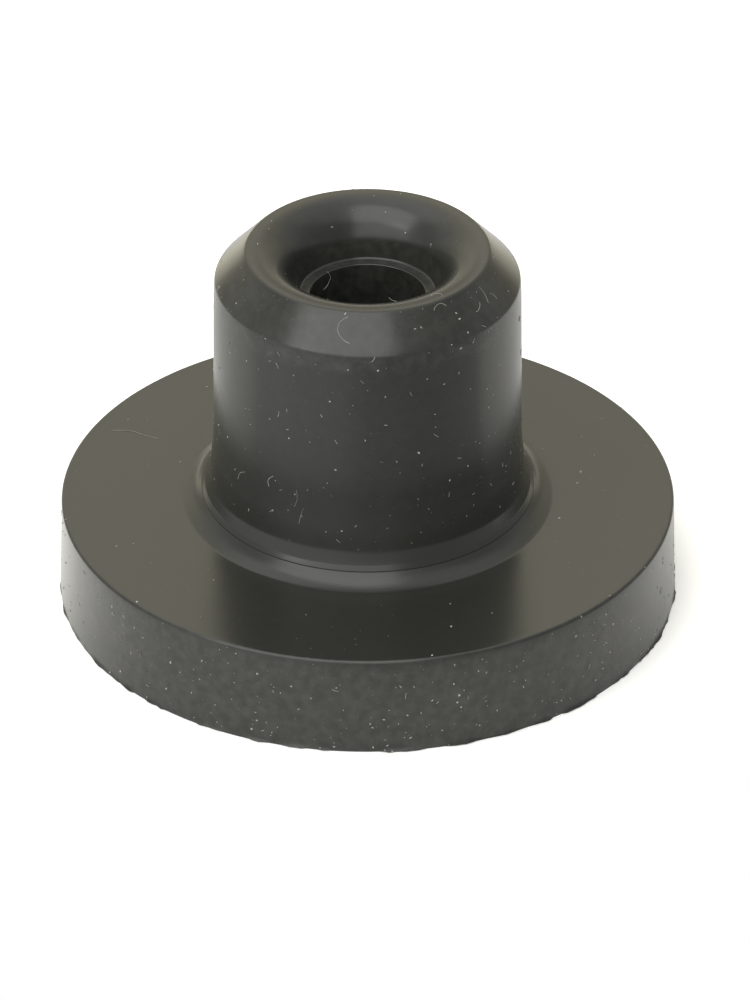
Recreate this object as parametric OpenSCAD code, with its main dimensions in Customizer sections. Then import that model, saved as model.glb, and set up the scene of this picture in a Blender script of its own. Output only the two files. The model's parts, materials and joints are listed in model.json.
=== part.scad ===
// Rubber grommet: a flat round flange with a thick neck standing on it, and one bore through both.
// The neck plugs a round hole, the flange seats against the wall, and the bore grips a spigot.
// Millimetres. +Z points up the neck, and the origin is the middle of the flange's base.

/* [Overall] */
// Height from the flange's base to the crest of the lip
height = 18.65; // [13:0.05:40]

/* [Flange] */
// Diameter of the flange at its base, where it is widest
flange_d = 30; // [21:0.5:60]
// Thickness of the flange
flange_t = 5; // [2:0.5:9]
// Draft on the flange's side, in degrees, so that it leaves its mould
flange_draft = 2; // [0.5:0.5:8]
// Radius on the flange's upper edge
rim_r = 0.3; // [0.1:0.1:2]

/* [Neck] */
// Diameter of the neck, to suit the hole that it plugs
neck_d = 14.8; // [12.2:0.1:22]
// Radius of the fillet at the neck's root
root_r = 2; // [0.4:0.05:3]
// Angle of the lead-in bevel at the neck's top, in degrees from the axis
lead_angle = 44.5; // [20:0.5:60]
// Radius on the corner between the neck's side and its bevel
corner_r = 0.5; // [0.1:0.05:1]

/* [Mouth] */
// Radius on the lip's outer side, where the bevel runs up to the crest
lip_r = 0.25; // [0.1:0.05:1]
// Width of the flat crest of the lip
lip_land = 0.05; // [0.05:0.05:0.8]
// Radius of the flared mouth, where it turns in from the crest of the lip
mouth_r = 2.2; // [0.5:0.1:3]
// Depth from the crest of the lip down to the ledge round the bore
mouth_depth = 2.45; // [1.8:0.05:6]
// Diameter of the throat, the narrow lower end of the mouth, where it meets the ledge
throat_d = 6.6; // [6:0.1:8.8]
// Draft on the throat's wall, in degrees
throat_draft = 15; // [1:1:25]

/* [Bore] */
// Diameter of the bore, to suit the spigot that it grips
bore_d = 5.5; // [2:0.1:6.2]
// Radius on the edge where the ledge turns down into the bore
ledge_r = 0.1; // [0.05:0.05:0.4]

/* [Hidden] */
$fn = 144;
// How far the hole's section runs past the faces that it opens through
past = 1;

// Directions in the section's plane, in degrees, with the axis on the left
outward = 0;
up = 90;
inward = 180;
down = 270;
full_turn = 360;

flange_r = flange_d / 2;
neck_r = neck_d / 2;
throat_r = throat_d / 2;
bore_r = bore_d / 2;

// The flange's side leans in by its draft, to this radius at the upper face
flange_top_r = flange_r - flange_t * tan(flange_draft);

// The ledge lies at this height, and the throat's wall leans out from it to this radius at the crest
ledge_z = height - mouth_depth;
throat_top_r = throat_r + mouth_depth * tan(throat_draft);

// The mouth's arc meets the crest at the first of these radii, and the lip's outer arc at the second
crest_in_r = throat_top_r + mouth_r / tan((up + throat_draft) / 2);
crest_out_r = crest_in_r + lip_land;

// The bevel's line meets the crest's plane at this radius, and the neck's side at this height
bevel_top_r = crest_out_r + lip_r / tan((up + lead_angle) / 2);
bevel_foot_z = height - (neck_r - bevel_top_r) / tan(lead_angle);

// A rounded corner is [its point, the direction back along the outline, the direction ahead, its radius]
rim = [[flange_top_r, flange_t], down + flange_draft, inward, rim_r];
root = [[neck_r, flange_t], outward, up, root_r];
foot = [[neck_r, bevel_foot_z], down, up + lead_angle, corner_r];
lip = [[bevel_top_r, height], down + lead_angle, inward, lip_r];
ledge = [[bore_r, ledge_z], down, outward + full_turn, ledge_r];
mouth = [[throat_top_r, height], down - throat_draft, outward + full_turn, mouth_r];

// The step of this length in this direction
function step(angle, length) = length * [cos(angle), sin(angle)];

// Half of the angle between a corner's two sides
function half_angle(corner) = abs(corner[1] - corner[2]) / 2;

// The two points where a corner's arc leaves its sides
function arc_ends(corner) =
    let (reach = corner[3] / tan(half_angle(corner)))
    [for (side = [corner[1], corner[2]]) corner[0] + step(side, reach)];

// The circle that a corner's arc is part of
module arc_circle(corner) {
    middle = (corner[1] + corner[2]) / 2;
    translate(corner[0] + step(middle, corner[3] / sin(half_angle(corner))))
        circle(corner[3]);
}

// Half of the outer section, solid to the axis: the flange, the root fillet, the neck, its bevel and lip.
// Each corner is cut straight across between its arc's ends, and its circle fills or hollows it out.
module outer_section() {
    difference() {
        union() {
            polygon(concat(
                [[0, 0], [flange_r, 0]],
                arc_ends(rim),
                arc_ends(root),
                arc_ends(foot),
                arc_ends(lip),
                [[0, height]]
            ));
            arc_circle(rim);
            arc_circle(foot);
            arc_circle(lip);
        }
        arc_circle(root);
    }
}

// Half of the hole's section: the bore, the flat ledge round it, the drafted throat and the flared mouth
module hole_section() {
    difference() {
        polygon(concat(
            [[0, -past], [bore_r, -past]],
            arc_ends(ledge),
            [[throat_r, ledge_z]],
            arc_ends(mouth),
            [[crest_in_r, height + past], [0, height + past]]
        ));
        arc_circle(ledge);
        arc_circle(mouth);
    }
}

// The whole grommet, moulded in one piece and round about its axis
module grommet() {
    color("#45453f")
        rotate_extrude()
            difference() {
                outer_section();
                hole_section();
            }
}

grommet();
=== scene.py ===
# %% [markdown]
# # A moulded rubber grommet
#
# The object is one piece of dark rubber, pressed in a mould: a flat round flange, a thick neck with a
# bevelled tip, and a flared mouth that leads down to a straight bore. It plugs a round hole in a wall,
# and a spigot is pushed in through its mouth.
#
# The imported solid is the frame. It has the true sizes, so every size below is read from it, or is a
# named value in millimetres that belongs to the same moulding.

# %% The frame
import bisect
import json
import math
import random

import bmesh
import bpy
from mathutils import Euler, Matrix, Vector

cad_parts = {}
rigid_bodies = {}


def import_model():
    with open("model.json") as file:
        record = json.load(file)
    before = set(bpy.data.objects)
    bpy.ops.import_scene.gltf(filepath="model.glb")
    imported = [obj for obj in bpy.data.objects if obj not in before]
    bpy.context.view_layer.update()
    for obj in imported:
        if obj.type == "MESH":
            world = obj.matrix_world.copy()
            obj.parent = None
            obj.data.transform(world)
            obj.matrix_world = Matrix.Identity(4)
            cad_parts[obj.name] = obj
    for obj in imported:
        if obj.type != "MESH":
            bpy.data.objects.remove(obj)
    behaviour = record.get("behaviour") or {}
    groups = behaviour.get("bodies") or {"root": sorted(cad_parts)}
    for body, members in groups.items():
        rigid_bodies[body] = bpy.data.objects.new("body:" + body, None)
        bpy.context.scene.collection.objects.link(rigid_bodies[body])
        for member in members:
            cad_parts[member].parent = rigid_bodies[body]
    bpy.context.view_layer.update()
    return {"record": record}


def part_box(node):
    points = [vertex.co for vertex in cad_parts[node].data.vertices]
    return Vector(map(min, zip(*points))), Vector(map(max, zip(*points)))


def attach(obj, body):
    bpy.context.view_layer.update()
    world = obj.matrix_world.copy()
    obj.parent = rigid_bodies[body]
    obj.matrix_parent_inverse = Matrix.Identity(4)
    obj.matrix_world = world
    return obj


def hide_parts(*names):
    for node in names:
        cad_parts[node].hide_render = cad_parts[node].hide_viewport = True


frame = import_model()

# %% [markdown]
# ## Sizes
#
# A turned shape needs few numbers. The height, the flange, the neck and the bore could be typed in
# again here, but a size that is written twice sooner or later disagrees with itself. So they are read
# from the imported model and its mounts, and the looks follow the solid when it changes. The small forms
# that no mount measures are named further down, beside the section that they shape.

# %% Sizes from the frame
MM = 0.001

mounts = {mount["name"]: mount for mount in frame["record"]["mounts"]}
low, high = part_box("grommet")

height = high.z
flange_r = high.x
flange_t = mounts["flange_seat"]["pos_m"][2]
neck_r = mounts["neck"]["dims"]["r_mm"] * MM
bore_r = mounts["bore"]["dims"]["r_mm"] * MM

print("flange", round(2 * flange_r / MM, 2), "mm across, neck", round(2 * neck_r / MM, 2),
      "mm, bore", round(2 * bore_r / MM, 2), "mm, height", round(height / MM, 2), "mm")

# %% [markdown]
# ## The camera
#
# The grommet is seen from a third of a right angle above the bench, through a long lens, so that its
# circles are near to true ellipses. The lens and the distance belong together: a shorter lens moved
# closer would open up the flange's front and close its back.

# %% Camera
camera_elevation = math.radians(32.47)
camera_distance = 339.7 * MM
camera_lens = 252.0
camera_drop = 0.387 * MM
camera_right = 0.355 * MM
aim = Vector((camera_right, 0, flange_t))

forward = Vector((0, math.cos(camera_elevation), -math.sin(camera_elevation)))
upward = Vector((0, math.sin(camera_elevation), math.cos(camera_elevation)))

camera = bpy.data.objects.new("camera", bpy.data.cameras.new("camera"))
bpy.context.scene.collection.objects.link(camera)
camera.data.sensor_width = 36
camera.data.lens = camera_lens
camera.data.clip_start = 0.01
camera.data.clip_end = 50
camera.location = aim - camera_drop * upward - camera_distance * forward
camera.rotation_euler = Euler((math.pi / 2 - camera_elevation, 0, 0))
bpy.context.scene.camera = camera
print("camera at", [round(c / MM, 1) for c in camera.location], "mm")

# %% [markdown]
# ## Two small helpers
#
# Colours are chosen as sRGB hex values, as a paint chart gives them, but shaders reckon in linear
# values, so one function turns the first into the second. The other adds a node with its settings and
# fills its inputs. It serves shader trees and geometry trees alike, and lets a tree be read from top to
# bottom like a recipe.

# %% Colour and node helpers
def linear(hex_colour, alpha=1.0):
    """An sRGB hex colour as the linear RGBA that sockets take."""
    parts = [int(hex_colour[i:i + 2], 16) / 255 for i in (1, 3, 5)]
    return [c / 12.92 if c <= 0.04045 else ((c + 0.055) / 1.055) ** 2.4 for c in parts] + [alpha]


def add(tree, kind, inputs=None, **settings):
    """Adds a node. An input is a value, a socket, or a node, whose first live output is then linked."""
    node = tree.nodes.new(kind)
    for name, value in settings.items():
        setattr(node, name, value)
    for key, value in (inputs or {}).items():
        if isinstance(value, bpy.types.Node):
            value = next(output for output in value.outputs if output.enabled)
        if isinstance(value, bpy.types.NodeSocket):
            tree.links.new(value, node.inputs[key])
        else:
            node.inputs[key].default_value = value
    return node


print("a mid grey of #808080 is", round(linear("#808080")[0], 3), "in linear light")

# %% [markdown]
# ## The studio
#
# Dark rubber shows little of its own colour. What the eye reads on it is mostly reflection, so the room
# matters as much as the material. The room is a white studio seen from inside: pale walls that are
# brightest behind the bench, a white ceiling, and a tall white card in front and to the left.
#
# It could be built of planes and lamps. But all of it is far away, so it is enough to say how bright it
# is in each direction, and that is what a world does. A direction has two measures here, both in
# degrees: its compass turn, from 0 in front through 90 on the right to 180 behind, and its rise over
# the horizon. Parts of the room have soft edges, so a helper fades a level in over any number of them.

# %% Directions in the room
world = bpy.data.worlds.new("room")
bpy.context.scene.world = world
world.use_nodes = True
room = world.node_tree
room.nodes.clear()

axes = add(room, "ShaderNodeSeparateXYZ", {0: add(room, "ShaderNodeTexCoord").outputs["Generated"]}).outputs
front = add(room, "ShaderNodeMath", {0: axes["Y"], 1: -1.0}, operation="MULTIPLY")
compass = add(room, "ShaderNodeMath", {0: axes["X"], 1: front}, operation="ARCTAN2")
compass = add(room, "ShaderNodeMath", {0: compass}, operation="DEGREES")
behind = add(room, "ShaderNodeMath", {0: compass}, operation="ABSOLUTE")
rise = add(room, "ShaderNodeMath", {0: axes["Z"]}, operation="ARCSINE")
rise = add(room, "ShaderNodeMath", {0: rise}, operation="DEGREES")


def fade_in(tree, level, *edges):
    """A level with soft edges: each is a measure, where nothing is left of it, and where it is whole."""
    for measure, nothing, whole in edges:
        edge = add(tree, "ShaderNodeMapRange", {"Value": measure, "From Min": nothing, "From Max": whole},
                   interpolation_type="SMOOTHSTEP")
        level = add(tree, "ShaderNodeMath", {0: level, 1: edge}, operation="MULTIPLY")
    return level


print("the camera stands at compass 0, rise", round(math.degrees(camera_elevation), 1))

# %% [markdown]
# The walls have a level for every compass turn, from straight behind over the left, the front and the
# right to behind again, and it eases from one to the next. They are paler towards the floor, which is
# lit from above. Low on the back wall there is a dim band, such as the far edge of a table leaves, and it
# reaches higher straight behind the grommet. It shows as the dark line along the front of the lip, and
# on the sides of the root fillet. The back wall is a little warm.

# %% Walls
wall_levels = [(-180, 0.73), (-155, 0.57), (-130, 0.43), (-95, 0.27), (-66, 0.34), (-28, 0.32), (5, 0.18),
               (45, 0.14), (90, 0.19), (130, 0.33), (155, 0.43), (180, 0.73)]
floor_gain, table_loss, straight_loss = 0.48, 0.6, 0.68

all_round = add(room, "ShaderNodeValToRGB", {
    "Fac": add(room, "ShaderNodeMath", {0: compass, 1: 1 / 360, 2: 0.5}, operation="MULTIPLY_ADD")})
ramp = all_round.color_ramp
ramp.interpolation = "EASE"
while len(ramp.elements) < len(wall_levels):
    ramp.elements.new(0.5)
for element, (turn, level) in zip(ramp.elements, wall_levels):
    element.position = turn / 360 + 0.5
    element.color = (level, level, level, 1)

floor_glow = fade_in(room, floor_gain, (rise, 24, 2))
floor_glow = add(room, "ShaderNodeMath", {0: floor_glow, 1: 1.0}, operation="ADD")
wall_level = add(room, "ShaderNodeMath", {0: all_round, 1: floor_glow}, operation="MULTIPLY")

table_edge = fade_in(room, table_loss, (behind, 80, 125), (rise, 25, 8))
straight_back = fade_in(room, straight_loss, (behind, 163, 176), (rise, 31, 21))
dim_band = add(room, "ShaderNodeMath", {0: table_edge, 1: straight_back}, operation="MAXIMUM")
dim_band = fade_in(room, dim_band, (rise, -3, 7))
undimmed = add(room, "ShaderNodeMath", {0: 1.0, 1: dim_band}, operation="SUBTRACT")
wall_level = add(room, "ShaderNodeMath", {0: wall_level, 1: undimmed}, operation="MULTIPLY")

wall_tint = add(room, "ShaderNodeMix", {
    "Factor": fade_in(room, 1.0, (axes["Y"], 0.35, 0.75)), "A": linear("#ffffff"), "B": linear("#fffae2")},
    data_type="RGBA")
wall_colour = add(room, "ShaderNodeVectorMath", {0: wall_tint, "Scale": wall_level}, operation="SCALE")
print("walls:", len(wall_levels), "levels, from", min(level for turn, level in wall_levels),
      "to", max(level for turn, level in wall_levels))

# %% [markdown]
# The ceiling is dimmer in front and on the right. The card stands in front and reaches further to the
# left than to the right. It shows on the front of the root fillet and at the back of the mouth, where
# the rubber faces forwards and up. For the camera itself the same world is plain white, so that the
# backdrop is white without any more light falling on the rubber.

# %% Ceiling, card and world
ceiling_back = add(room, "ShaderNodeMix", {
    "Factor": fade_in(room, 1.0, (axes["X"], -0.05, 0.25)), "A": linear("#dadada"), "B": linear("#adadad")},
    data_type="RGBA")
ceiling = add(room, "ShaderNodeMix", {
    "Factor": fade_in(room, 1.0, (axes["Y"], 0.0, 0.25)), "A": linear("#a8a8a8"), "B": ceiling_back},
    data_type="RGBA")
surround = add(room, "ShaderNodeMix", {
    "Factor": fade_in(room, 1.0, (rise, 44, 58)), "A": wall_colour, "B": ceiling}, data_type="RGBA")
card = fade_in(room, 1.0, (compass, -72, -52), (compass, 26, 14), (rise, 3, 20), (rise, 50, 44))
surround = add(room, "ShaderNodeMix", {
    "Factor": card, "A": surround, "B": linear("#e8e8e6")}, data_type="RGBA")

room_strength = 2.0
lit_room = add(room, "ShaderNodeBackground", {"Color": surround, "Strength": room_strength})
white = add(room, "ShaderNodeBackground", {"Color": linear("#ffffff"), "Strength": 1.0})
seen = add(room, "ShaderNodeLightPath").outputs["Is Camera Ray"]
add(room, "ShaderNodeOutputWorld", {
    "Surface": add(room, "ShaderNodeMixShader", {0: seen, 1: lit_room, 2: white})})
print("room:", len(room.nodes), "nodes")

# %% [markdown]
# One soft box leans over the bench from the front, a little to the left: its near edge is low and its
# far edge is high above the grommet. It could be one more bright patch of the world, but a lamp is
# close enough to throw a real shadow on the bench. Its edges are placed by where its reflection ends on
# the bevel and in the mouth, and its level by how pale that reflection is: rubber gives back about a
# twenty-fifth of what falls straight on it.

# %% Soft box
box_left, box_right = -0.86, 0.20
box_near = Vector((0, -0.51, 0.60))
box_lean = math.radians(54.6)
box_length = 1.10
box_radiance = 1.75

soft_box = bpy.data.objects.new("soft_box", bpy.data.lights.new("soft_box", "AREA"))
bpy.context.scene.collection.objects.link(soft_box)
soft_box.data.shape = "RECTANGLE"
soft_box.data.size = box_right - box_left
soft_box.data.size_y = box_length
soft_box.data.energy = box_radiance * math.pi * soft_box.data.size * soft_box.data.size_y
soft_box.data.color = linear("#fffefb")[:3]
soft_box.rotation_euler.x = box_lean
soft_box.location = box_near + box_length / 2 * Vector((0, math.cos(box_lean), math.sin(box_lean)))
soft_box.location.x = (box_left + box_right) / 2
soft_box.visible_camera = False
print("soft box", round(soft_box.data.size, 2), "by", round(soft_box.data.size_y, 2), "m,",
      round(soft_box.data.energy, 1), "W")

# %% [markdown]
# ## The bench
#
# The bench is a plain sheet of white paper. It could be a large floor, but its front edge is cut round,
# a little way out from the flange, so that the neck's front looks past it into the dim side of the
# room. It lies a hair below the base, so that the two never share a plane.

# %% Bench sheet
bench_front, bench_shoulder = 23 * MM, -4 * MM
bench_side, bench_back = 70 * MM, 70 * MM
bench_gap = 0.02 * MM
bench_steps = 24

sweep = math.acos(-bench_shoulder / bench_front)
turns = [sweep * (k / bench_steps - 1) for k in range(2 * bench_steps + 1)]
rim_points = [(bench_front * math.sin(turn), -bench_front * math.cos(turn), 0) for turn in turns]
rim_points += [(bench_side, bench_shoulder, 0), (bench_side, bench_back, 0),
               (-bench_side, bench_back, 0), (-bench_side, bench_shoulder, 0)]

bench_mesh = bpy.data.meshes.new("bench")
bench_mesh.from_pydata(rim_points, [], [list(range(len(rim_points)))])
bench = bpy.data.objects.new("bench", bench_mesh)
bpy.context.scene.collection.objects.link(bench)
bench.location.z = low.z - bench_gap
print("bench:", round(2 * bench_side / MM), "mm wide, its front", round(bench_front / MM), "mm out")

# %% [markdown]
# Paper is matt and nearly white. For the camera alone it is a shade brighter than real paper could be,
# which takes it up to the white of the room while the grommet's shadow still shows on it. In
# reflections it is brighter close beside the flange, and more so on the left: that is painted light, a
# brighter patch in the paper's colour that only reflections see, as if light from behind the bench
# shone through it. From below it is clear, and so is the ring that the flange covers, so that the
# underside can be looked at in the room's own light.

# %% White paper
def new_material(name):
    """An empty material, and its tree."""
    material = bpy.data.materials.new(name)
    material.use_nodes = True
    material.node_tree.nodes.clear()
    return material, material.node_tree


camera_lift = 0.45
white_paper, sheet = new_material("white_paper")
path = add(sheet, "ShaderNodeLightPath").outputs
where = add(sheet, "ShaderNodeTexCoord").outputs["Object"]
across = add(sheet, "ShaderNodeSeparateXYZ", {0: where}).outputs
reach = add(sheet, "ShaderNodeVectorMath", {0: where}, operation="LENGTH")

# Painted light: a brighter patch in the paper's colour beside the flange, seen only in reflections.
painted_shine = add(sheet, "ShaderNodeMapRange", {
    "Value": across["X"], "From Min": 10 * MM, "From Max": -10 * MM, "To Min": 0.25, "To Max": 0.6})
painted_shine = fade_in(sheet, painted_shine, (reach, 25 * MM, 19 * MM), (across["Y"], -14 * MM, 1 * MM))
painted_shine = add(sheet, "ShaderNodeMath", {0: painted_shine, 1: path["Is Glossy Ray"]}, operation="MULTIPLY")
level = add(sheet, "ShaderNodeMath", {
    0: path["Is Camera Ray"], 1: camera_lift, 2: 1.0}, operation="MULTIPLY_ADD")
level = add(sheet, "ShaderNodeMath", {0: painted_shine, 1: level}, operation="ADD")
pale = add(sheet, "ShaderNodeVectorMath", {0: linear("#f6f6f4")[:3], "Scale": level}, operation="SCALE")

covered = add(sheet, "ShaderNodeMath", {
    0: reach, 1: (flange_r + bore_r) / 2, 2: (flange_r - bore_r) / 2 - bench_gap}, operation="COMPARE")
underside = add(sheet, "ShaderNodeNewGeometry").outputs["Backfacing"]
clear = add(sheet, "ShaderNodeMath", {0: underside, 1: covered}, operation="MAXIMUM")
add(sheet, "ShaderNodeOutputMaterial", {"Surface": add(sheet, "ShaderNodeMixShader", {
    0: clear, 1: add(sheet, "ShaderNodeBsdfDiffuse", {"Color": pale}),
    2: add(sheet, "ShaderNodeBsdfTransparent")})})

bench_mesh.materials.append(white_paper)
print("paper:", len(sheet.nodes), "nodes")

# %% [markdown]
# ## The section
#
# A grommet is round about its bore, so half of its section says everything about its shape. It could be
# modelled by pushing and pulling a cylinder, but the mould's cavity was turned from a section like this
# one, and so every form here has a size that a drawing would give. The neck is a little wider at its
# root, so that it leaves the mould easily, and turns slowly inwards just below the bevel, like a brow.

# %% Section sizes
flange_draft = math.radians(1.7)
rim_r = 0.15 * MM
neck_draft = math.radians(0.7)
brow_drop = 2.3 * MM
brow_tilt = math.radians(3.5)
brow_bend_r = 3.0 * MM
lead_angle = math.radians(43.8)
corner_r = 0.2 * MM
lip_r = 0.25 * MM
lip_land = 0.05 * MM
mouth_r = 2.2 * MM
mouth_depth = 2.45 * MM
throat_r = 3.3 * MM
throat_draft = math.radians(15)
throat_foot_r = 0.12 * MM
ledge_r = 0.05 * MM
bore_foot_r = 0.08 * MM
base_edge_r = 0.05 * MM
print("bevel", round(math.degrees(lead_angle), 1), "degrees from the axis, mouth", round(mouth_depth / MM, 2),
      "mm deep")

# %% [markdown]
# The section is made of straight lines that meet at corners, as on a drawing, and the rounding comes
# after. So the next values are where the lines cross before they are rounded: the flange's top edge, the
# top of the throat, the crest of the lip, and the brow and the foot that end the neck.

# %% Where the lines cross
flange_top_r = flange_r - flange_t * math.tan(flange_draft)
throat_top_r = throat_r + mouth_depth * math.tan(throat_draft)
ledge_z = height - mouth_depth
crest_in_r = throat_top_r + mouth_r / math.tan((math.pi / 2 + throat_draft) / 2)
bevel_top_r = crest_in_r + lip_land + lip_r / math.tan((math.pi / 2 + lead_angle) / 2)


def neck_edge(z):
    """The neck's radius at a height."""
    return neck_r + ((flange_t + height) / 2 - z) * math.tan(neck_draft)


def bevel_edge(z):
    """The bevel's radius at a height."""
    return bevel_top_r + (height - z) * math.tan(lead_angle)


brow_z = height - brow_drop
brow_r = neck_edge(brow_z)
foot_z = (height * math.tan(lead_angle) + bevel_top_r - brow_r - brow_z * math.tan(brow_tilt)) / (
    math.tan(lead_angle) - math.tan(brow_tilt))
print("the bevel's foot is at", round(bevel_edge(foot_z) / MM, 2), "mm radius,", round(foot_z / MM, 2), "mm up")

# %% [markdown]
# Where the neck meets the flange, the mould's two parts left a fine step part way down the fillet. A
# plain fillet would be one arc. This one is a chain of points, each so many millimetres out from the
# neck and up from the flange's top, and each rounded by its own radius.
#
# With these the outline has seventeen corners. Each is its radius from the axis, its height, and how
# far it is rounded.

# %% Section corners
root_points = {
    "root": (1.55, 0.0, 0.40),
    "toe": (1.34, 0.085, 2.5),
    "cove": (0.98, 0.262, 1.40),
    "step_foot": (0.655, 0.575, 0.02),
    "step_top": (0.648, 0.635, 0.02),
    "hollow": (0.48, 0.835, 0.15),
    "sleeve": (0.26, 1.45, 1.0),
    "skirt": (0.04, 3.40, 12.0),
}
corners = {
    "bore_foot": (bore_r, low.z, bore_foot_r),
    "base_edge": (flange_r, low.z, base_edge_r),
    "rim": (flange_top_r, flange_t, rim_r),
    **{name: (neck_r + out * MM, flange_t + up * MM, rounding * MM)
       for name, (out, up, rounding) in root_points.items()},
    "brow": (brow_r, brow_z, brow_bend_r),
    "foot": (bevel_edge(foot_z), foot_z, corner_r),
    "lip": (bevel_top_r, height, lip_r),
    "mouth": (throat_top_r, height, mouth_r),
    "throat": (throat_r, ledge_z, throat_foot_r),
    "ledge": (bore_r, ledge_z, ledge_r),
}
print(len(corners), "corners:", ", ".join(corners))

# %% [markdown]
# Rounding a corner needs the arc that touches both of its sides. A Bevel modifier could do it, but it
# takes one width for all corners. Here each arc is worked out from its own radius, and gets a point
# every few degrees: the small ones are seen from so far off that wider steps still look round.

# %% Rounding one corner
small_r = 0.3 * MM
small_arc_step, wide_arc_step = math.radians(9), math.radians(4)


def fit_arc(back, here, ahead, radius):
    """The arc that rounds a corner: its start, its finish, its middle and its sweep."""
    to_back, to_ahead = (back - here).normalized(), (ahead - here).normalized()
    half = to_back.angle(to_ahead) / 2
    middle = here + (to_back + to_ahead).normalized() * radius / math.sin(half)
    start = here + to_back * radius / math.tan(half)
    finish = here + to_ahead * radius / math.tan(half)
    return start, finish, middle, math.pi - 2 * half


def along_arc(start, finish, middle, sweep, radius):
    """Points along an arc, without its finish."""
    spoke = start - middle
    way = spoke.cross(finish - middle)
    count = max(2, math.ceil(sweep / (wide_arc_step if radius > small_r else small_arc_step)))
    points = []
    for k in range(count):
        angle = math.copysign(sweep * k / count, way)
        points.append(middle + Vector((spoke.x * math.cos(angle) - spoke.y * math.sin(angle),
                                       spoke.x * math.sin(angle) + spoke.y * math.cos(angle))))
    return points


quarter = fit_arc(Vector((1, 0)), Vector((0, 0)), Vector((0, 1)), 0.5)
print("a square corner with a radius of 0.5 turns through", round(math.degrees(quarter[3])), "degrees")

# %% [markdown]
# Straight stretches get a point every third of a millimetre or so. They could do with none, but close,
# even points keep the flat faces flat when the surface is shaded smooth. The base and the bore, which
# nobody sees closely, get fewer. Each point remembers the corner or the side that it lies on, and that
# is used for the marks.

# %% The whole outline
line_step = 0.3 * MM
hidden_step = 2.0 * MM
hidden_sides = {"bore_foot_side", "ledge_side"}


def rounded_outline(corners):
    """The closed outline's points, each with the name of the corner or the side that it lies on."""
    names = list(corners)
    flat = [Vector(corners[name][:2]) for name in names]
    arcs = [fit_arc(flat[i - 1], flat[i], flat[(i + 1) % len(flat)], corners[name][2])
            for i, name in enumerate(names)]
    points = []
    for i, name in enumerate(names):
        points += [(point, name) for point in along_arc(*arcs[i], corners[name][2])]
        side = name + "_side"
        finish, next_start = arcs[i][1], arcs[(i + 1) % len(arcs)][0]
        step = hidden_step if side in hidden_sides else line_step
        count = max(1, math.ceil((next_start - finish).length / step))
        points += [(finish.lerp(next_start, k / count), side) for k in range(count)]
    return points


outline = rounded_outline(corners)
print(len(outline), "points in the section")

# %% [markdown]
# ## Marks on the section
#
# Not every zone of the grommet looks the same. The flash sits on the base's edge only. The flange's
# side and the neck are duller than the rest, because they rubbed against the mould on the way out.
# Dust lies in a thin layer where hands don't wipe it off, and loose specks lie in the same places. The
# film mark is partly that dust and partly painted light: on the brow and down the throat's wall, the
# ledge and the bore it lifts the tone as reflected light would. Painted maps could say all this, but
# each zone goes right round, so it is enough to mark the section's points.
# A mark is a weight from 0 to 1, and corners and sides that aren't named have none.

# %% Marks
marks = {
    "flash": {"base_edge": 1.0},
    "satin": {"base_edge_side": 0.35, "sleeve_side": 0.4, "skirt": 0.6, "skirt_side": 0.65, "brow": 0.5,
              "brow_side": 0.3},
    # The film weights are dust on the flange's side and base, and painted light on the brow, the throat's wall,
    # the ledge and the bore.
    "dust_and_painted_light": {"base_edge": 0.6, "base_edge_side": 1.0, "rim": 0.5, "rim_side": 0.10, "cove": 0.15,
             "hollow": 0.1, "sleeve_side": 0.1, "skirt": 0.1, "skirt_side": 0.2, "brow": 0.7,
             "brow_side": 1.0, "foot": 0.6, "foot_side": 0.5, "lip": 0.1, "mouth": 0.2,
             "mouth_side": 0.7, "throat": 0.3, "throat_side": 0.8, "ledge_side": 0.9},
    "dusty": {"base_edge": 0.6, "base_edge_side": 1.0, "rim": 0.6, "rim_side": 0.12, "sleeve_side": 0.5,
              "skirt": 0.5, "skirt_side": 0.6, "brow": 0.7, "brow_side": 0.7, "foot": 0.7,
              "foot_side": 0.6, "lip": 0.7, "mouth": 0.2, "ledge_side": 0.05},
}
for mark, weights in marks.items():
    print(mark, "on", sum(side in weights for point, side in outline), "of the section's points")

# %% [markdown]
# ## Working with trees
#
# The body, the dust and the lint all follow a rule, so each is made by a geometry tree with named
# inputs for its sizes. Every tree starts and ends alike: it takes in a geometry, and in the end it makes
# real faces of whatever it only repeated, and gives them their material.

# %% Start and finish a tree
def new_geometry_tree(name, sizes):
    """An empty geometry tree with a geometry input, named size inputs, and a geometry output."""
    tree = bpy.data.node_groups.new(name, "GeometryNodeTree")
    tree.interface.new_socket("Geometry", in_out="INPUT", socket_type="NodeSocketGeometry")
    for label, kind in sizes.items():
        tree.interface.new_socket(label, in_out="INPUT", socket_type=kind)
    tree.interface.new_socket("Geometry", in_out="OUTPUT", socket_type="NodeSocketGeometry")
    return tree, add(tree, "NodeGroupInput").outputs


def finish_tree(tree, geometry, material):
    """Ends a tree with real geometry in its material."""
    whole = add(tree, "GeometryNodeRealizeInstances", {"Geometry": geometry})
    dressed = add(tree, "GeometryNodeSetMaterial", {"Geometry": whole, "Material": material})
    add(tree, "NodeGroupOutput", {"Geometry": dressed})
    print(tree.name, "tree:", len(tree.nodes), "nodes")
    return tree


# %% [markdown]
# A tree works on an object through a modifier, and its inputs are set by each socket's identifier, not
# by its name. The finished piece has to stand without the modifier, so what the tree makes is copied to
# a plain mesh and the modifier is taken off. The object that a tree starts from can be a mere chain of
# points: half of the section for the body, and the fibres' paths for the lint.

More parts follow.
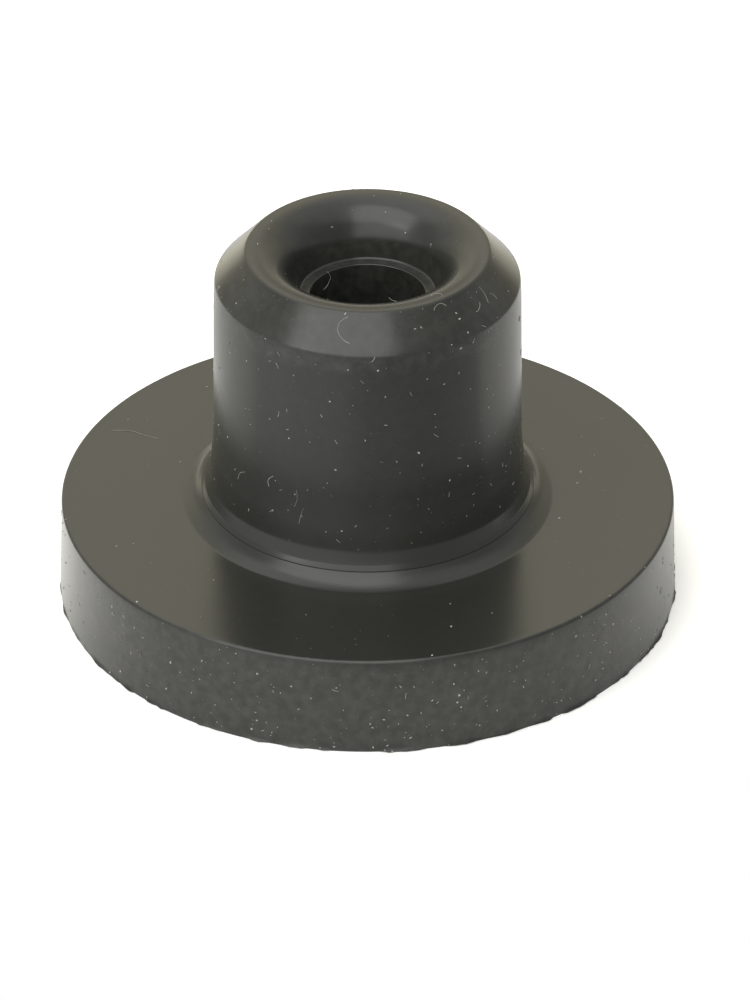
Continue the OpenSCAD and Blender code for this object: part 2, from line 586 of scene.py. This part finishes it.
# %% Run a tree
def bake(source, tree, values, name):
    """Runs a geometry tree on an object and returns its result as a new plain object."""
    modifier = source.modifiers.new("tree", "NODES")
    modifier.node_group = tree
    identifiers = {item.name: item.identifier for item in tree.interface.items_tree if item.in_out == "INPUT"}
    for label, value in values.items():
        modifier[identifiers[label]] = value
    graph = bpy.context.evaluated_depsgraph_get()
    mesh = bpy.data.meshes.new_from_object(source.evaluated_get(graph), depsgraph=graph)
    source.modifiers.remove(modifier)
    piece = bpy.data.objects.new(name, mesh)
    bpy.context.scene.collection.objects.link(piece)
    mesh.name = name
    return piece


def chain_object(name, points, edges):
    """A mesh object of points and edges, for a tree to start from."""
    mesh = bpy.data.meshes.new(name)
    mesh.from_pydata(points, edges, [])
    source = bpy.data.objects.new(name, mesh)
    bpy.context.scene.collection.objects.link(source)
    return source


# %% [markdown]
# ## The body
#
# A Screw modifier could turn the section round the bore's axis. A tree works as the lathe here, because
# it can also carry the marks, and leave the traces of moulding, in the same go. It begins with a flat
# grid that has one row for each point of the section and one column for each step of the turn, with one
# more of each, because the grid will close on itself. A grid point's place says which row it is in, and
# how far round it will go.

# %% Lay the grid
def lay_grid(tree, given):
    """A flat grid with a row for each section point, and each grid point's row and turn."""
    rows = add(tree, "GeometryNodeAttributeDomainSize", {"Geometry": given["Geometry"]})
    row_posts = add(tree, "ShaderNodeMath", {0: rows, 1: 1.0}, operation="ADD")
    turn_posts = add(tree, "ShaderNodeMath", {0: given["Segments"], 1: 1.0}, operation="ADD")
    grid = add(tree, "GeometryNodeMeshGrid", {
        "Size X": 1.0, "Size Y": 1.0, "Vertices X": turn_posts, "Vertices Y": row_posts})
    place = add(tree, "ShaderNodeSeparateXYZ", {0: add(tree, "GeometryNodeInputPosition")}).outputs
    row = add(tree, "ShaderNodeMath", {0: place["Y"], 1: 0.5}, operation="ADD")
    row = add(tree, "ShaderNodeMath", {0: row, 1: rows}, operation="MULTIPLY")
    row = add(tree, "ShaderNodeMath", {0: row}, operation="ROUND")
    row = add(tree, "ShaderNodeMath", {0: row, 1: rows}, operation="MODULO")
    turn = add(tree, "ShaderNodeMath", {0: place["X"], 1: 2 * math.pi}, operation="MULTIPLY")
    return grid, row, turn


# %% [markdown]
# Each row then looks up its section point. First it takes over that point's marks, while the rows still
# lie flat and can be told apart. Then every grid point moves to its section point's radius and height,
# turned by its own angle. Where the grid's edges meet, the doubled points are merged.

# %% Hand on the marks and roll up
seam_gap = 0.001 * MM


def hand_marks(tree, given, grid, row):
    """Stores the section's marks on the grid."""
    for mark in marks:
        weight = add(tree, "GeometryNodeInputNamedAttribute", {"Name": mark}, data_type="FLOAT")
        weight = add(tree, "GeometryNodeSampleIndex", {
            "Geometry": given["Geometry"], "Value": weight, "Index": row}, data_type="FLOAT")
        grid = add(tree, "GeometryNodeStoreNamedAttribute", {
            "Geometry": grid, "Name": mark, "Value": weight}, data_type="FLOAT", domain="POINT")
    return grid


def roll_up(tree, given, grid, row, turn):
    """Moves the grid onto the turned section, and closes it where its edges meet."""
    section = add(tree, "GeometryNodeSampleIndex", {
        "Geometry": given["Geometry"], "Value": add(tree, "GeometryNodeInputPosition"), "Index": row},
        data_type="FLOAT_VECTOR")
    section = add(tree, "ShaderNodeSeparateXYZ", {0: section}).outputs
    turned = add(tree, "ShaderNodeVectorRotate", {
        "Vector": add(tree, "ShaderNodeCombineXYZ", {"X": section["X"], "Z": section["Z"]}), "Angle": turn},
        rotation_type="Z_AXIS")
    solid = add(tree, "GeometryNodeSetPosition", {"Geometry": grid, "Position": turned})
    return add(tree, "GeometryNodeMergeByDistance", {"Geometry": solid, "Distance": seam_gap})


# %% [markdown]
# The same tree adds what moulding leaves. Rubber shrinks a little unevenly as it cools, which gives it a
# slight waviness. And where the mould parted, along the base's edge, a thin ragged fin of flash was
# trimmed by hand. Both are noise that moves points: the first along the normal, the second outwards.

# %% Waviness and flash
nibs_start, nibs_full = 0.42, 0.7


def make_wavy(tree, given, solid):
    """Moves the surface in and out by a soft noise."""
    per_wave = add(tree, "ShaderNodeMath", {0: 1.0, 1: given["Wave length"]}, operation="DIVIDE")
    wave = add(tree, "ShaderNodeTexNoise", {
        "Vector": add(tree, "GeometryNodeInputPosition"), "Scale": per_wave, "Detail": 2.0})
    wave = add(tree, "ShaderNodeMath", {0: wave, 1: 0.5}, operation="SUBTRACT")
    wave = add(tree, "ShaderNodeMath", {0: wave, 1: given["Waviness"]}, operation="MULTIPLY")
    wave = add(tree, "ShaderNodeVectorMath", {
        0: add(tree, "GeometryNodeInputNormal"), "Scale": wave}, operation="SCALE")
    return add(tree, "GeometryNodeSetPosition", {"Geometry": solid, "Offset": wave})


def leave_flash(tree, given, solid):
    """Pulls ragged nibs outwards where the flash mark is."""
    where = add(tree, "GeometryNodeInputPosition")
    per_nib = add(tree, "ShaderNodeMath", {0: 1.0, 1: given["Flash length"]}, operation="DIVIDE")
    nib = add(tree, "ShaderNodeTexNoise", {"Vector": where, "Scale": per_nib, "Detail": 3.0})
    nib = add(tree, "ShaderNodeMapRange", {
        "Value": nib, "From Min": nibs_start, "From Max": nibs_full}, interpolation_type="SMOOTHSTEP")
    nib = add(tree, "ShaderNodeMath", {0: nib, 1: given["Flash"]}, operation="MULTIPLY")
    weight = add(tree, "GeometryNodeInputNamedAttribute", {"Name": "flash"}, data_type="FLOAT")
    nib = add(tree, "ShaderNodeMath", {0: nib, 1: weight}, operation="MULTIPLY")
    outward = add(tree, "ShaderNodeVectorMath", {0: where, 1: (1, 1, 0)}, operation="MULTIPLY")
    outward = add(tree, "ShaderNodeVectorMath", {0: outward}, operation="NORMALIZE")
    nib = add(tree, "ShaderNodeVectorMath", {0: outward, "Scale": nib}, operation="SCALE")
    return add(tree, "GeometryNodeSetPosition", {"Geometry": solid, "Offset": nib})


# %% [markdown]
# Put together, the steps make one tree, and the whole grommet comes out of one section. The surface is
# shaded smooth, because the section's close points already hold every edge.

# %% Lathe tree
def make_lathe_tree():
    """Turns a section in the XZ plane into a closed round solid."""
    tree, given = new_geometry_tree("lathe", {
        "Segments": "NodeSocketInt", "Waviness": "NodeSocketFloat", "Wave length": "NodeSocketFloat",
        "Flash": "NodeSocketFloat", "Flash length": "NodeSocketFloat", "Material": "NodeSocketMaterial"})
    grid, row, turn = lay_grid(tree, given)
    grid = hand_marks(tree, given, grid, row)
    solid = roll_up(tree, given, grid, row, turn)
    solid = make_wavy(tree, given, solid)
    solid = leave_flash(tree, given, solid)
    smooth = add(tree, "GeometryNodeSetShadeSmooth", {"Geometry": solid})
    return finish_tree(tree, smooth, given["Material"])


lathe_tree = make_lathe_tree()

# %% [markdown]
# ## The rubber
#
# Black moulded rubber, such as nitrile or EPDM with carbon black and chalk filler, is never quite
# black: it is a dark warm grey, and a faint bloom wanders over it in patches of a few millimetres. One
# flat colour would look like plastic. A pale layer lies over it in smears of half a millimetre, as
# thick as the film mark says. On the flange it is dust. On the brow, the throat's wall, the ledge and
# the bore it is painted light: a lift in tone that stands in for reflected light.

# %% Rubber colour
bloom_size = 6 * MM
smear_size = 0.5 * MM
thinnest_dust_and_light, thickest_dust_and_light = 0.005, 0.085

moulded_rubber, skin = new_material("moulded_rubber")
where = add(skin, "ShaderNodeTexCoord").outputs["Object"]
bloom = add(skin, "ShaderNodeTexNoise", {"Vector": where, "Scale": 1 / bloom_size, "Detail": 3.0})
colour = add(skin, "ShaderNodeMix", {
    "Factor": bloom, "A": linear("#292a26"), "B": linear("#2d2d29")}, data_type="RGBA")

# Painted light: the pale mix below is dust on the flange, but on the brow, the throat's wall, the ledge and the
# bore it is painted light that lifts their tone.
dust_and_painted_light = add(skin, "ShaderNodeAttribute", attribute_name="dust_and_painted_light").outputs["Fac"]
smears = add(skin, "ShaderNodeTexNoise", {"Vector": where, "Scale": 1 / smear_size, "Detail": 4.0})
smears = add(skin, "ShaderNodeMapRange", {
    "Value": smears, "From Min": 0.35, "From Max": 0.75, "To Min": thinnest_dust_and_light, "To Max": thickest_dust_and_light})
dust_and_painted_light = add(skin, "ShaderNodeMath", {0: dust_and_painted_light, 1: smears}, operation="MULTIPLY")
colour = add(skin, "ShaderNodeMix", {"Factor": dust_and_painted_light, "A": colour, "B": linear("#9d9b95")}, data_type="RGBA")
print("film of dust: at most", round(100 * thickest_dust_and_light, 1), "percent")

# %% [markdown]
# A ground steel mould gives rubber a semi-gloss skin, so a window or a lamp shows in it as a soft-edged
# patch. Its fine grain only softens those patches. The real grain is a few hundredths of a millimetre,
# and is drawn at 0.12 mm, so that it shows at all. The duller zones carry fine marks that run round the
# piece, which stretch the reflections up and down: a roughness that differs between the two ways. The
# index of refraction of rubber is about 1.52.

# %% Rubber gloss
rubber_ior = 1.52
gloss_roughness, satin_roughness = 0.20, 0.29
bloom_roughness = 0.04
satin_stretch = 0.9
grain_size, grain_depth = 0.12 * MM, 0.02 * MM

grain = add(skin, "ShaderNodeTexNoise", {"Vector": where, "Scale": 1 / grain_size, "Detail": 2.0})
bump = add(skin, "ShaderNodeBump", {"Height": grain, "Strength": 0.06, "Distance": grain_depth})
satin = add(skin, "ShaderNodeAttribute", attribute_name="satin").outputs["Fac"]
rough = add(skin, "ShaderNodeMapRange", {
    "Value": satin, "To Min": gloss_roughness, "To Max": satin_roughness})
rough = add(skin, "ShaderNodeMath", {0: bloom, 1: bloom_roughness, 2: rough}, operation="MULTIPLY_ADD")
surface = add(skin, "ShaderNodeBsdfPrincipled", {
    "Base Color": colour, "Roughness": rough, "IOR": rubber_ior, "Normal": bump,
    "Anisotropic": add(skin, "ShaderNodeMath", {0: satin, 1: satin_stretch}, operation="MULTIPLY"),
    "Anisotropic Rotation": 0.25,
    "Tangent": add(skin, "ShaderNodeTangent", direction_type="RADIAL", axis="Z")})
add(skin, "ShaderNodeOutputMaterial", {"Surface": surface})
print("rubber:", len(skin.nodes), "nodes")

# %% [markdown]
# Now the section goes on the lathe. A turn of 360 steps keeps each facet of the flange's edge to about
# a quarter of a millimetre. The volume says at once whether the faces point outwards: it would be
# negative if they didn't.

# %% Turn the body
turned_section = chain_object("section", [(point.x, 0, point.y) for point, side in outline],
                              [(i, (i + 1) % len(outline)) for i in range(len(outline))])
for mark, weights in marks.items():
    values = turned_section.data.attributes.new(mark, "FLOAT", "POINT")
    values.data.foreach_set("value", [weights.get(side, 0.0) for point, side in outline])

body = bake(turned_section, lathe_tree, {
    "Segments": 360, "Waviness": 0.02 * MM, "Wave length": 5 * MM,
    "Flash": 0.12 * MM, "Flash length": 1.2 * MM, "Material": moulded_rubber}, "grommet_body")
bpy.data.objects.remove(turned_section)

shape = bmesh.new()
shape.from_mesh(body.data)
print("body:", len(body.data.polygons), "faces,", round(shape.calc_volume(signed=True) / MM ** 3, 1), "mm3")
shape.free()

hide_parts("grommet")
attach(body, "root")

# %% [markdown]
# ## Dust
#
# Rubber is sticky and holds a charge, so what falls on it stays. Pale specks lie all over the flange's
# side and the neck. A noise in the material could draw them, but real grains also stand out in the
# outline and catch light of their own. So a tree scatters them by the dusty mark. Each is a small ball
# squeezed flat, spun at random, and far more of them are fine than coarse.

# %% Dust tree
flattest, plumpest = (0.7, 0.5, 0.15), (1.5, 1.0, 0.35)
largest_tilt = 0.4
rarity = 4.0


def make_dust_tree():
    """Flattened grains, scattered on a surface by its dusty mark."""
    tree, given = new_geometry_tree("dust", {
        "Per square metre": "NodeSocketFloat", "Smallest": "NodeSocketFloat", "Largest": "NodeSocketFloat",
        "Seed": "NodeSocketInt", "Material": "NodeSocketMaterial"})
    dusty = add(tree, "GeometryNodeInputNamedAttribute", {"Name": "dusty"}, data_type="FLOAT")
    density = add(tree, "ShaderNodeMath", {0: dusty, 1: given["Per square metre"]}, operation="MULTIPLY")
    spots = add(tree, "GeometryNodeDistributePointsOnFaces", {
        "Mesh": given["Geometry"], "Density": density, "Seed": given["Seed"]},
        distribute_method="RANDOM").outputs
    chance = add(tree, "FunctionNodeRandomValue", {"Seed": given["Seed"]}, data_type="FLOAT")
    chance = add(tree, "ShaderNodeMath", {0: chance, 1: rarity}, operation="POWER")
    size = add(tree, "ShaderNodeMapRange", {
        "Value": chance, "To Min": given["Smallest"], "To Max": given["Largest"]})
    flat = add(tree, "FunctionNodeRandomValue", {
        0: flattest, 1: plumpest, "Seed": given["Seed"]}, data_type="FLOAT_VECTOR")
    size = add(tree, "ShaderNodeVectorMath", {0: flat, "Scale": size}, operation="SCALE")
    spin = add(tree, "FunctionNodeRandomValue", {
        0: (0, 0, 0), 1: (largest_tilt, largest_tilt, 2 * math.pi), "Seed": given["Seed"]},
        data_type="FLOAT_VECTOR")
    spin = add(tree, "FunctionNodeRotateRotation", {
        "Rotation": spots["Rotation"], "Rotate By": spin}, rotation_space="LOCAL")
    grain = add(tree, "GeometryNodeMeshIcoSphere", {"Radius": 1.0, "Subdivisions": 1})
    grains = add(tree, "GeometryNodeInstanceOnPoints", {
        "Points": spots["Points"], "Instance": grain, "Rotation": spin, "Scale": size})
    return finish_tree(tree, grains, given["Material"])


# %% [markdown]
# Dust and lint are loose grit and fibre, pale and quite matt. Fibre has an index of refraction of about
# 1.53, and nothing polished it, so it is rough. Some of it is greasy or half sunk in the rubber's bloom,
# so its tone changes every millimetre or two. The two differ only in tone, so one function makes both.

# %% Dust and lint materials
loose_ior, loose_roughness = 1.53, 0.9
shade_size = 1.5 * MM


def make_matt(name, hex_colour):
    """A plain matt material for loose fibre or grit."""
    material, tree = new_material(name)
    where = add(tree, "ShaderNodeTexCoord").outputs["Object"]
    shade = add(tree, "ShaderNodeTexNoise", {"Vector": where, "Scale": 1 / shade_size, "Detail": 2.0})
    shade = add(tree, "ShaderNodeMapRange", {
        "Value": shade, "From Min": 0.3, "From Max": 0.7, "To Min": 0.35, "To Max": 1.0})
    colour = add(tree, "ShaderNodeVectorMath", {0: linear(hex_colour)[:3], "Scale": shade}, operation="SCALE")
    matt = add(tree, "ShaderNodeBsdfPrincipled", {
        "Base Color": colour, "Roughness": loose_roughness, "IOR": loose_ior})
    add(tree, "ShaderNodeOutputMaterial", {"Surface": matt})
    return material


dust_grit = make_matt("dust_grit", "#c1bfb5")
cotton_lint = make_matt("cotton_lint", "#b1afa5")
print("loose stuff:", dust_grit.name, "and", cotton_lint.name)

# %% [markdown]
# Where the dusty mark is whole, about three grains lie on each square millimetre. Most are a few
# hundredths of a millimetre across and only the odd one is over a tenth, as house dust is. The seed is
# fixed, so every run lays the same grains.

# %% Scatter the dust
grains_per_mm2 = 3.2
finest_grain_r, coarsest_grain_r = 0.010 * MM, 0.075 * MM
dust_seed = 7

dust = bake(body, make_dust_tree(), {
    "Per square metre": grains_per_mm2 / MM ** 2, "Smallest": finest_grain_r, "Largest": coarsest_grain_r,
    "Seed": dust_seed, "Material": dust_grit}, "dust_specks")
faces_per_grain = 20
print("dust:", len(dust.data.polygons) // faces_per_grain, "grains")

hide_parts("grommet")
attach(dust, "root")

# %% [markdown]
# ## Lint
#
# A few lint fibres cling to the flange, the bevel, the lip and the bore. Each could be drawn as a curve
# by hand, but it would float off the surface or sink into it. So a fibre is laid by walking over the
# surface. A walk starts at a turn round the axis, a radius and a height, sets off in a heading (0 goes
# up the section, 90 goes round to the right), and curls as it goes, with small kinks. The section's own
# points serve as a tape measure for it.

# %% A walk over the surface
stride = 0.08
kink_degrees = 5
trail_end = 0.999

first = max(i for i, (point, side) in enumerate(outline) if side == "base_edge")
trail = [point for point, side in outline[first:]]
tape = [0.0]
for here, ahead in zip(trail, trail[1:]):
    tape.append(tape[-1] + (ahead - here).length)
print("from the base's edge over the lip and down the bore:", round(tape[-1] / MM, 1), "mm")


def on_surface(turn, along, lift):
    """The point at a turn from the front, a distance up the section, and a lift off the surface."""
    along = min(max(along, 0.0), tape[-1] * trail_end)
    i = bisect.bisect_right(tape, along) - 1
    here, ahead = trail[i], trail[i + 1]
    spot = here.lerp(ahead, (along - tape[i]) / (tape[i + 1] - tape[i]))
    run = (ahead - here).normalized()
    spot = spot + lift * Vector((run.y, -run.x))
    return Vector((spot.x * math.sin(turn), -spot.x * math.cos(turn), spot.y))


def walk(turn, out, up, heading, length, curl, lift, chance):
    """The points of one fibre, from degrees, millimetres and degrees per millimetre."""
    from_here = Vector((out, up)) * MM
    along = tape[min(range(len(trail)), key=lambda i: (trail[i] - from_here).length)]
    turn, heading = math.radians(turn), math.radians(heading)
    points = []
    for k in range(max(2, round(length / stride)) + 1):
        points.append(on_surface(turn, along, lift))
        along += stride * MM * math.cos(heading)
        turn += stride * MM * math.sin(heading) / points[-1].xy.length
        heading += math.radians(curl * stride + chance.gauss(0, kink_degrees))
    return points


# %% [markdown]
# The tree for the lint is short: every chain of points becomes a round tube with closed ends. Six sides
# are enough for something thinner than a hair.

# %% Lint tree
def make_lint_tree():
    """Round fibres along chains of points."""
    tree, given = new_geometry_tree("lint", {
        "Fibre radius": "NodeSocketFloat", "Material": "NodeSocketMaterial"})
    path = add(tree, "GeometryNodeMeshToCurve", {"Mesh": given["Geometry"]})
    ring = add(tree, "GeometryNodeCurvePrimitiveCircle", {
        "Resolution": 6, "Radius": given["Fibre radius"]}, mode="RADIUS")
    tube = add(tree, "GeometryNodeCurveToMesh", {"Curve": path, "Profile Curve": ring, "Fill Caps": True})
    smooth = add(tree, "GeometryNodeSetShadeSmooth", {"Geometry": tube})
    return finish_tree(tree, smooth, given["Material"])


# %% [markdown]
# Each fibre below is its turn, radius, height, heading, length and curl. Shorter bits of lint are strewn
# between them from a fixed seed, half of them round the flange and half on the neck.

# %% The fibres
fibre_r = 0.015 * MM
fibre_lift = fibre_r * 0.6
strewn_bits = 110
fibres = [
    (-114, 13.9, 5.0, -33, 2.5, 2),      # straight, on the flange's left
    (-7, 6.8, 17.6, -72, 1.75, 84),      # a bow on the bevel's front
    (-136, 2.9, 16.2, -35, 1.1, 90),     # a curl over the ledge into the bore
    (31, 6.1, 18.3, 25, 0.9, 150),       # a curl over the lip
    (38, 5.6, 18.6, 60, 1.0, -190),      # a second curl beside it
    (-56, 7.4, 8.2, 20, 0.9, 60),        # four bits low on the neck
    (-39, 7.4, 9.1, -25, 0.7, 120),
    (-27, 7.4, 9.4, 160, 1.0, 50),
    (-24, 7.4, 8.3, 195, 0.9, -25),
    (60, 6.1, 18.3, 170, 0.9, 30),       # three on the bevel's right
    (63, 6.5, 17.9, 130, 0.5, 160),
    (50, 6.7, 17.8, 100, 0.6, -140),
    (149, 2.7, 15.2, 80, 0.5, 160),      # in the bore's back
]
chance = random.Random(11)
round_flange = (flange_r / MM, 0.4, 4.6)
on_neck = (neck_r / MM, 7, 17.5)
for k in range(strewn_bits):
    out, lowest, highest = on_neck if k % 2 else round_flange
    fibres.append((chance.uniform(-180, 180), out, chance.uniform(lowest, highest),
                   chance.uniform(0, 360), chance.uniform(0.06, 0.3), chance.uniform(-120, 120)))
print(len(fibres), "fibres, the longest", max(fibre[4] for fibre in fibres), "mm")

# %% [markdown]
# All the walks go into one chain object, in the order of the list, because they share one source of
# chance. A fibre's middle is lifted a little off the surface, so that it lies on the rubber and sinks
# in only slightly, as a fibre does that clings.

# %% Lay the lint
points, edges = [], []
for fibre in fibres:
    steps = walk(*fibre, fibre_lift, chance)
    edges += [(len(points) + i, len(points) + i + 1) for i in range(len(steps) - 1)]
    points += steps
chains = chain_object("chains", points, edges)
lint = bake(chains, make_lint_tree(), {"Fibre radius": fibre_r, "Material": cotton_lint}, "lint")
bpy.data.objects.remove(chains)
print("lint:", len(fibres), "fibres,", len(lint.data.polygons), "faces")

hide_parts("grommet")
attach(lint, "root")

# %% [markdown]
# ## The finish
#
# The visual model has to keep the solid's sizes, and takes them from the solid. The render keeps
# the Standard view transform.

# %% Finish
bpy.context.scene.view_settings.view_transform = "Standard"
